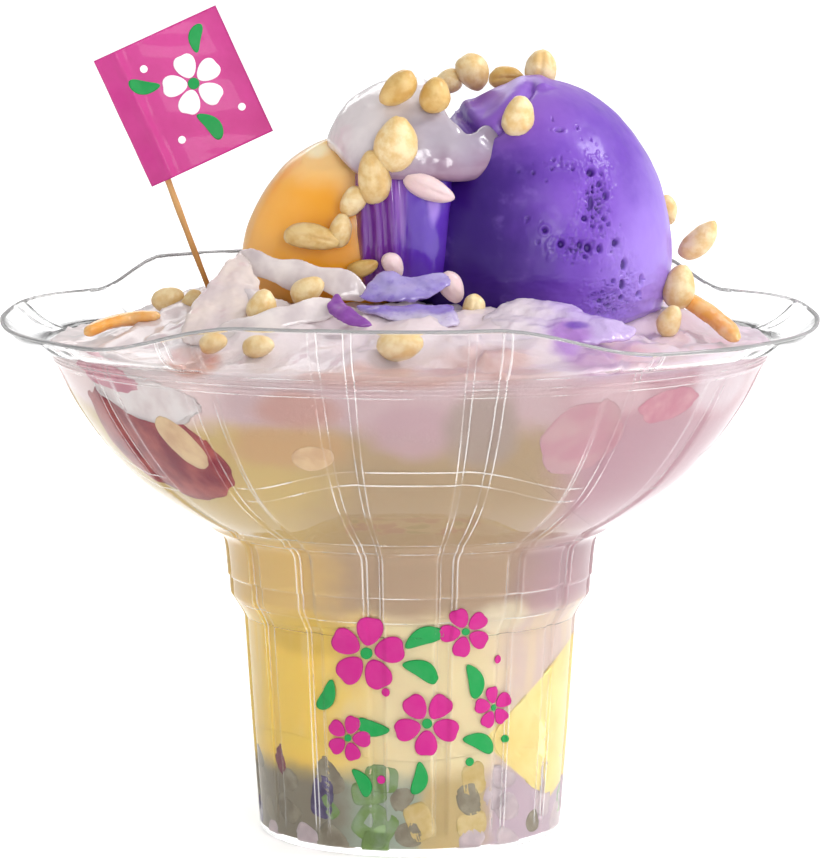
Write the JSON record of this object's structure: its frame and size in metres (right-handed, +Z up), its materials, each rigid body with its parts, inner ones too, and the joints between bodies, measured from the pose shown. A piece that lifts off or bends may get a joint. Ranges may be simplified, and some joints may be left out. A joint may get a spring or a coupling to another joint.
{
  "type": "halo halo",
  "caption": "Halo halo in a clear flower-shaped plastic cup: layers of beans, jelly, fruit and soaked shaved ice under a purple yam scoop, flan, coconut, kernels and a paper flag.",
  "frame": {"origin": "middle of the cup's flat underside", "axes": "+Z up, -Y towards the front, +X to the right with the scoop on the right and the flag on the left"},
  "size_m": [0.1722, 0.161, 0.1734],
  "materials": {
    "clear_plastic": "clear, thin and glossy",
    "pick_wood": "dry, fine grained",
    "flag_paper": "printed, slightly satin",
    "roasted_kernel": "dry, slightly waxy",
    "coconut": "wet and translucent",
    "jackfruit": "wet and syrupy",
    "lilac_yam": "moist",
    "purple_yam": "moist",
    "pink_ice": "wet and icy",
    "macapuno": "wet, jelly-like and translucent",
    "ube_ice_cream": "smooth and melting",
    "leche_flan": "smooth and satin",
    "cream_bean": "wet",
    "red_bean": "wet",
    "coconut_jelly": "wet and translucent",
    "pink_jelly": "wet and translucent",
    "yellow_jelly": "wet and translucent",
    "bean_mix": "wet",
    "milk_ice": "crushed ice soaked in milk",
    "soaked_ice": "ice soaked in syrup",
    "fruit_syrup": "fruit and jelly in syrup"
  },
  "bodies": {
    "root": {"clear_cup": "clear_plastic", "pick_stick": "pick_wood", "paper_flag": "flag_paper", "kernel_1": "roasted_kernel", "kernel_2": "roasted_kernel", "kernel_3": "roasted_kernel", "kernel_4": "roasted_kernel", "kernel_5": "roasted_kernel", "kernel_6": "roasted_kernel", "kernel_7": "roasted_kernel", "kernel_8": "roasted_kernel", "kernel_9": "roasted_kernel", "kernel_10": "roasted_kernel", "kernel_11": "roasted_kernel", "kernel_12": "roasted_kernel", "kernel_13": "roasted_kernel", "kernel_14": "roasted_kernel", "kernel_15": "roasted_kernel", "kernel_16": "roasted_kernel", "kernel_17": "roasted_kernel", "kernel_18": "roasted_kernel", "kernel_19": "roasted_kernel", "kernel_20": "roasted_kernel", "kernel_21": "roasted_kernel", "kernel_22": "roasted_kernel", "kernel_23": "roasted_kernel", "kernel_24": "roasted_kernel", "kernel_25": "roasted_kernel", "kernel_26": "roasted_kernel", "kernel_27": "roasted_kernel", "kernel_28": "roasted_kernel", "kernel_29": "roasted_kernel", "kernel_30": "roasted_kernel", "coconut_ribbon_1": "coconut", "coconut_ribbon_2": "coconut", "coconut_ribbon_3": "coconut", "coconut_ribbon_4": "coconut", "coconut_shard": "coconut", "jackfruit_strip_right": "jackfruit", "jackfruit_strip_left": "jackfruit", "jackfruit_strip_back": "jackfruit", "lilac_flake_1": "lilac_yam", "lilac_flake_2": "lilac_yam", "purple_flake": "purple_yam", "ube_halaya": "purple_yam", "pink_shaving": "pink_ice", "macapuno_drape": "macapuno", "ube_scoop": "ube_ice_cream", "leche_flan": "leche_flan", "cream_bean": "cream_bean", "red_bean_mass": "red_bean", "coconut_jelly": "coconut_jelly", "pink_jelly_left": "pink_jelly", "pink_jelly_middle": "pink_jelly", "pink_jelly_right": "pink_jelly", "yellow_jelly": "yellow_jelly", "bean_heap": "bean_mix", "shaved_ice": "milk_ice", "soaked_ice": "soaked_ice", "golden_layer": "fruit_syrup"}
  },
  "joints": []
}
